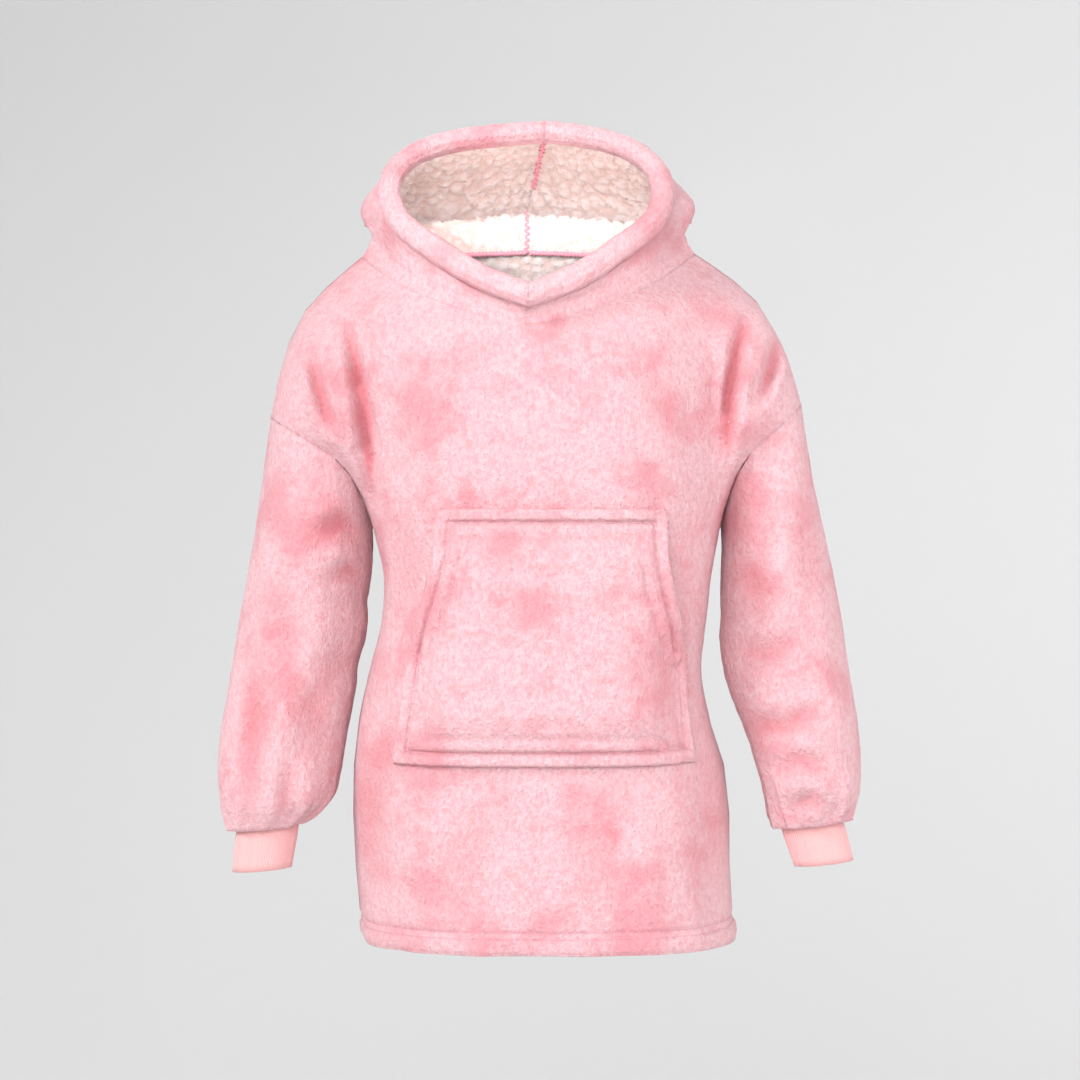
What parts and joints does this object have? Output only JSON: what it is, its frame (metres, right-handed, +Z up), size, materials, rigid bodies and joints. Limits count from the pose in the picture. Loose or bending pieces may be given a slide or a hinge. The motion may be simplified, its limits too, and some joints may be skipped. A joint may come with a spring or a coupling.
{
  "type": "wearable blanket hoodie",
  "caption": "Oversized fleece hoodie blanket with a lined hood, dropped shoulders, full sleeves, rib cuffs and a front pocket, filled out as when worn.",
  "frame": {"origin": "middle of the shoulders, where the wearer's body carries the garment", "axes": "+Z up, from the hem to the hood; +X to the right of the picture, which is the wearer's left; -Y the way the wearer faces"},
  "size_m": [0.7638, 0.4285, 0.9853],
  "materials": {
    "fleece_pink": "matt, brushed nap",
    "sherpa_white": "matt, curly pile",
    "rib_knit_pink": "matt, ribbed"
  },
  "bodies": {
    "root": {"front_panel": "fleece_pink", "back_panel": "fleece_pink", "sleeve_left": "fleece_pink", "sleeve_right": "fleece_pink", "cuff_left": "rib_knit_pink", "cuff_right": "rib_knit_pink", "hood_left": "fleece_pink", "hood_right": "fleece_pink", "hood_lining_left": "sherpa_white", "hood_lining_right": "sherpa_white", "hood_band_left": "fleece_pink", "hood_band_right": "fleece_pink", "pocket": "fleece_pink"}
  },
  "joints": []
}
